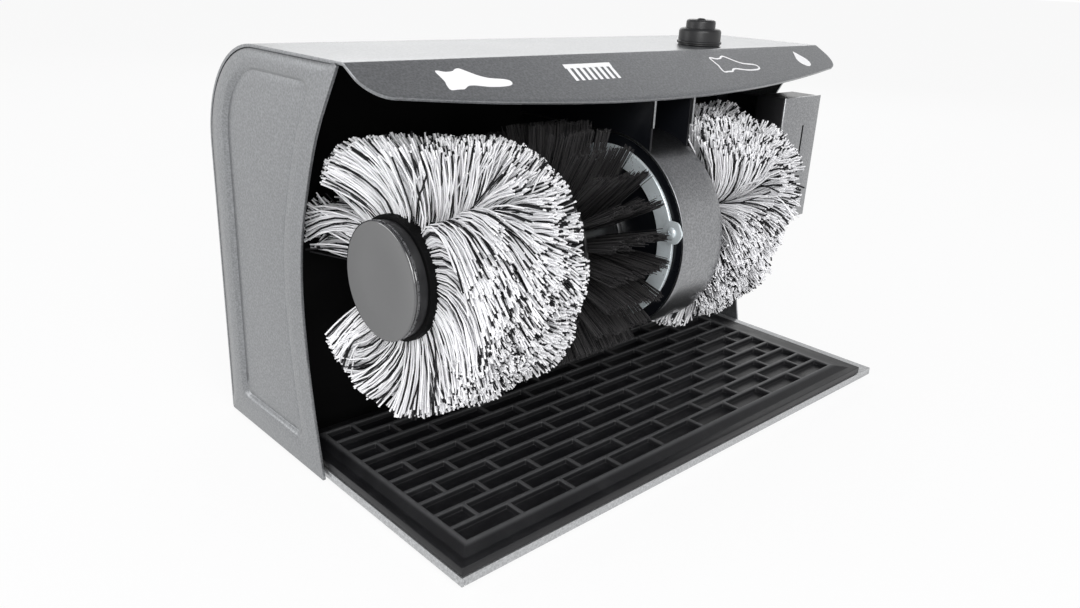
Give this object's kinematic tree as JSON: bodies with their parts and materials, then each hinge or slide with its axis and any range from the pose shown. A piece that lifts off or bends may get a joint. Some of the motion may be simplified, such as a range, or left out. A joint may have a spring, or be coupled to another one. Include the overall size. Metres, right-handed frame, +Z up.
{
  "type": "shoe shine machine",
  "caption": "Floor-standing shoe shine machine: bent sheet hood over a matted tray, mops and a bristle brush on one shaft, push button and cream dispenser.",
  "frame": {"origin": "middle of the machine's footprint, on the floor under the rubber feet", "axes": "+X to the right seen from the front, +Y to the back, +Z up"},
  "size_m": [0.4, 0.243, 0.2555],
  "materials": {
    "hammertone": "hammered metallic silver-grey",
    "tray_paint": "smooth silver-grey",
    "black_paint": "matt black",
    "black_rubber": "matt black",
    "bright_steel": "polished",
    "plain_steel": "plain",
    "capacitor_can": "drawn can",
    "cast_grey": "turned casting",
    "black_plastic": "black",
    "cap_gloss": "gloss black",
    "mop_yarn": "white yarn with black strands between",
    "bristle": "black bristle"
  },
  "bodies": {
    "housing": {"hood_shell": "hammertone", "side_panel_left": "hammertone", "side_panel_right": "hammertone", "casing_band": "hammertone", "dispenser_front": "hammertone", "base_tray": "tray_paint", "bulkhead": "black_paint", "casing_plate_left": "black_paint", "casing_plate_right": "black_paint", "casing_blank": "black_paint", "foot_front_left": "black_rubber", "foot_front_right": "black_rubber", "foot_rear_left": "black_rubber", "foot_rear_right": "black_rubber", "drive_belt": "black_rubber", "inlet_grommet": "black_rubber", "button_collar": "black_rubber", "bright_ring": "bright_steel", "clamp_plate": "bright_steel", "clamp_screw": "bright_steel", "back_screw_1": "plain_steel", "back_screw_2": "plain_steel", "back_screw_3": "plain_steel", "back_screw_4": "plain_steel", "bearing_left": "plain_steel", "bearing_right": "plain_steel", "motor_can": "plain_steel", "motor_bracket_left": "plain_steel", "motor_bracket_right": "plain_steel", "capacitor": "capacitor_can", "motor_end_left": "cast_grey", "motor_end_right": "cast_grey", "capacitor_clip": "black_plastic", "terminal_box": "black_plastic", "switch_body": "black_plastic", "dispenser_tank": "black_plastic", "dispenser_base": "black_plastic"},
    "brush_rotor": {"brush_shaft": "plain_steel", "mop_left_hub": "black_plastic", "mop_left_pile": "mop_yarn", "mop_left_cap": "cap_gloss", "separator_disc": "black_plastic", "brush_hub": "black_plastic", "brush_bristles": "bristle", "driven_pulley": "cast_grey", "mop_right_hub": "black_plastic", "mop_right_pile": "mop_yarn", "mop_right_cap": "cap_gloss"},
    "motor_rotor": {"motor_shaft": "plain_steel", "drive_pulley": "cast_grey"},
    "button": {"button_cap": "black_rubber"},
    "valve": {"dispenser_valve": "bright_steel"},
    "mat": {"rubber_mat": "black_rubber"}
  },
  "joints": [
    {"name": "brush_spin", "type": "hinge", "parent": "housing", "child": "brush_rotor", "pos_m": [0, -0.0355, 0.1309], "axis": [1, 0, 0], "continuous": true},
    {"name": "motor_spin", "type": "hinge", "parent": "housing", "child": "motor_rotor", "pos_m": [0, 0.0835, 0.087], "axis": [1, 0, 0], "continuous": true},
    {"name": "button_press", "type": "slide", "parent": "housing", "child": "button", "axis": [0, 0, -1], "range_m": [0, 0.004], "stiffness_N_per_m": 300, "springref_m": -0.002},
    {"name": "valve_lift", "type": "slide", "parent": "housing", "child": "valve", "axis": [0, 0, 1], "range_m": [0, 0.005], "stiffness_N_per_m": 150, "springref_m": -0.003},
    {"name": "mat_slide", "type": "slide", "parent": "housing", "child": "mat", "axis": [0, -1, 0], "range_m": [0, 0.15]}
  ],
  "couplings": [
    {"joint": "motor_spin", "follows": "brush_spin", "ratio": 2.8}
  ]
}
